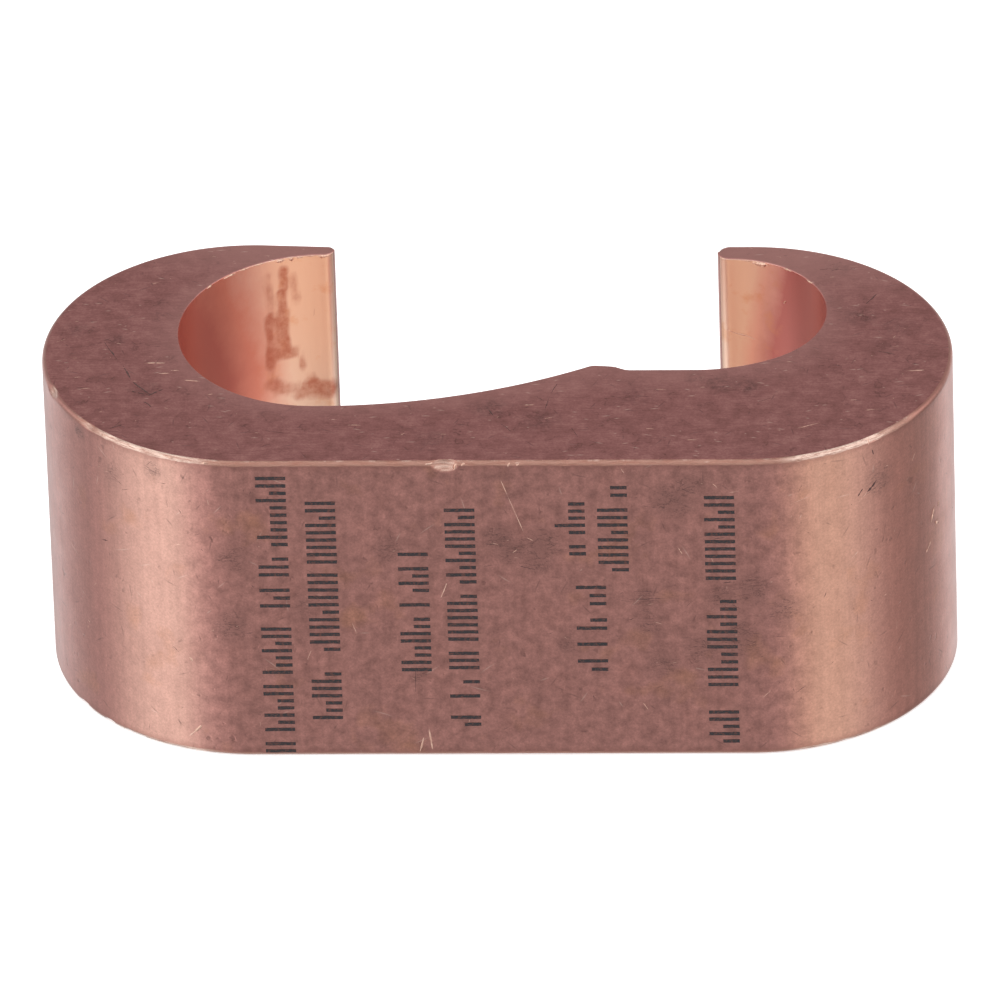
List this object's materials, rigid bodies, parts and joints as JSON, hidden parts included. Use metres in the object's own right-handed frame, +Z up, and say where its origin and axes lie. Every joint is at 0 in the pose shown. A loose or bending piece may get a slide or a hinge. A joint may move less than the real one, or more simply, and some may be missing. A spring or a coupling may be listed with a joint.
{
  "type": "grounding compression connector",
  "caption": "C-shaped solid copper compression tap for ground conductors, with a large run groove, a small tap groove and an open throat between two curled arms.",
  "frame": {"origin": "centre of the bounding box on the lower cut face, on which the connector stands", "axes": "+Z up along the drawing direction, +X along the flat front from the run end to the tap end, +Y from the flat front towards the open throat"},
  "size_m": [0.0528, 0.024, 0.0202],
  "materials": {
    "copper": "drawn and sawn copper, dull, lightly oxidised, brighter in the grooves and on the rolled edges"
  },
  "bodies": {
    "root": {"connector_body": "copper"}
  },
  "joints": []
}
